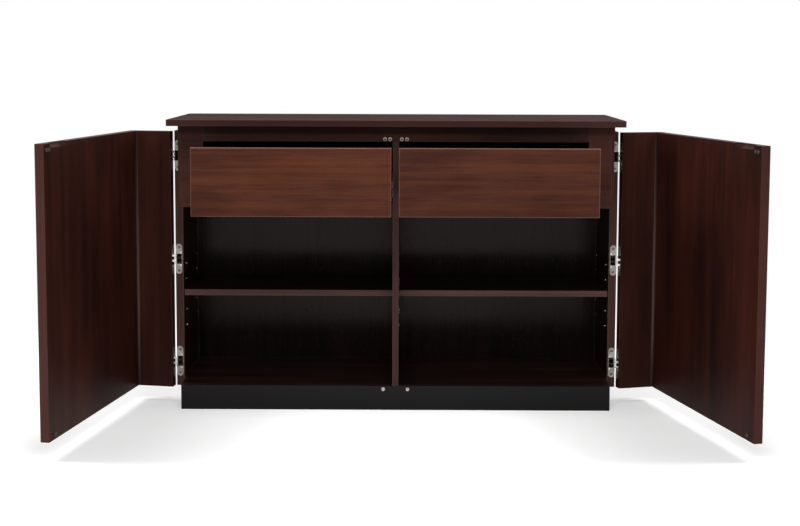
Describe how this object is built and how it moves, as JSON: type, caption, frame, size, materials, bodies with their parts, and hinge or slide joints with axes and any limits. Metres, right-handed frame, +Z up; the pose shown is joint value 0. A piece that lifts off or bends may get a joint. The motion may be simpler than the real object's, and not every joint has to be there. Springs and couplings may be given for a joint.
{
  "type": "sideboard",
  "caption": "Low sideboard with wrap-around corner doors on concealed hinges, pull-out drawers above shelved compartments, and a recessed plinth.",
  "frame": {"origin": "centre of the plinth's footprint, on the floor", "axes": "+X to the viewer's right, the fronts face -Y, +Z up"},
  "size_m": [1.9716, 0.9821, 0.909],
  "materials": {
    "top_veneer": "dark espresso wood veneer, satin lacquer, long grain along the top",
    "door_veneer": "dark espresso mahogany veneer, satin lacquer, vertical grain",
    "drawer_front_veneer": "warm red-brown mahogany veneer, satin lacquer, horizontal grain",
    "case_veneer": "dark espresso mahogany veneer, satin lacquer",
    "carcass_veneer": "very dark stained veneer, matte",
    "plinth_black": "black satin lacquer",
    "drawer_box_wood": "plain sanded wood, clear matte",
    "hinge_metal": "satin nickel plated casting",
    "screw_steel": "nickel plated steel",
    "runner_steel": "bright zinc plated steel",
    "catch_metal": "satin nickel",
    "pin_nickel": "nickel plated",
    "bumper": "pale plastic"
  },
  "bodies": {
    "cabinet": {"top_panel": "top_veneer", "sub_top": "carcass_veneer", "bottom_board": "carcass_veneer", "back_panel": "carcass_veneer", "centre_partition": "carcass_veneer", "plinth_front": "plinth_black", "plinth_back": "plinth_black", "plinth_end_left": "plinth_black", "plinth_end_right": "plinth_black", "plinth_brace": "plinth_black", "drawer_case_rail": "case_veneer", "side_panel_left": "door_veneer", "side_panel_right": "door_veneer", "case_hinge_leaves_left": "hinge_metal", "case_hinge_leaves_right": "hinge_metal", "drawer_case_stile_left": "case_veneer", "drawer_case_stile_right": "case_veneer", "drawer_case_end_left": "case_veneer", "drawer_case_end_right": "case_veneer", "drawer_case_side_left": "case_veneer", "drawer_case_side_right": "case_veneer", "drawer_case_deck_left": "case_veneer", "drawer_case_deck_right": "case_veneer", "shelf_left": "carcass_veneer", "shelf_right": "carcass_veneer", "case_leaf_screws": "screw_steel", "shelf_pins": "pin_nickel", "rail_magnets": "catch_metal", "plinth_bumpers": "bumper", "runner_case_members": "runner_steel"},
    "left_door": {"left_door_front_panel": "door_veneer", "left_door_side_panel": "door_veneer", "left_door_hinge_leaves": "hinge_metal", "left_door_leaf_screws": "screw_steel", "left_door_strikes": "catch_metal"},
    "right_door": {"right_door_front_panel": "door_veneer", "right_door_side_panel": "door_veneer", "right_door_hinge_leaves": "hinge_metal", "right_door_leaf_screws": "screw_steel", "right_door_strikes": "catch_metal"},
    "left_links": {"left_hinge_links": "hinge_metal"},
    "right_links": {"right_hinge_links": "hinge_metal"},
    "left_drawer": {"left_drawer_front": "drawer_front_veneer", "left_drawer_box_front": "drawer_box_wood", "left_drawer_box_inner_side": "drawer_box_wood", "left_drawer_box_outer_side": "drawer_box_wood", "left_drawer_box_back": "drawer_box_wood", "left_drawer_box_bottom": "drawer_box_wood", "left_drawer_runner_members": "runner_steel"},
    "right_drawer": {"right_drawer_front": "drawer_front_veneer", "right_drawer_box_front": "drawer_box_wood", "right_drawer_box_inner_side": "drawer_box_wood", "right_drawer_box_outer_side": "drawer_box_wood", "right_drawer_box_back": "drawer_box_wood", "right_drawer_box_bottom": "drawer_box_wood", "right_drawer_runner_members": "runner_steel"},
    "left_runner_mid": {"left_runner_mid_members": "runner_steel"},
    "right_runner_mid": {"right_runner_mid_members": "runner_steel"}
  },
  "joints": [
    {"name": "left_door_swing", "type": "hinge", "parent": "cabinet", "child": "left_door", "pos_m": [-0.702, -0.09725, 0], "axis": [0, 0, -1], "range_deg": [-99.9, 25]},
    {"name": "left_link_swing", "type": "hinge", "parent": "cabinet", "child": "left_links", "pos_m": [-0.702, -0.09725, 0], "axis": [0, 0, -1], "range_deg": [-50.45, 13]},
    {"name": "left_drawer_slide", "type": "slide", "parent": "cabinet", "child": "left_drawer", "axis": [0, -1, 0], "range_m": [-0.27, 0.08]},
    {"name": "left_runner_mid_slide", "type": "slide", "parent": "cabinet", "child": "left_runner_mid", "axis": [0, -1, 0], "range_m": [-0.135, 0.04]},
    {"name": "right_door_swing", "type": "hinge", "parent": "cabinet", "child": "right_door", "pos_m": [0.702, -0.09725, 0], "axis": [0, 0, 1], "range_deg": [-103.9, 21]},
    {"name": "right_link_swing", "type": "hinge", "parent": "cabinet", "child": "right_links", "pos_m": [0.702, -0.09725, 0], "axis": [0, 0, 1], "range_deg": [-52.45, 11]},
    {"name": "right_drawer_slide", "type": "slide", "parent": "cabinet", "child": "right_drawer", "axis": [0, -1, 0], "range_m": [-0.27, 0.08]},
    {"name": "right_runner_mid_slide", "type": "slide", "parent": "cabinet", "child": "right_runner_mid", "axis": [0, -1, 0], "range_m": [-0.135, 0.04]}
  ],
  "couplings": [
    {"joint": "left_link_swing", "follows": "left_door_swing", "ratio": 0.5},
    {"joint": "left_drawer_slide", "follows": "left_door_swing", "m_per_rad": 0.15485},
    {"joint": "left_runner_mid_slide", "follows": "left_door_swing", "m_per_rad": 0.077426},
    {"joint": "right_link_swing", "follows": "right_door_swing", "ratio": 0.5},
    {"joint": "right_drawer_slide", "follows": "right_door_swing", "m_per_rad": 0.14889},
    {"joint": "right_runner_mid_slide", "follows": "right_door_swing", "m_per_rad": 0.074445}
  ]
}
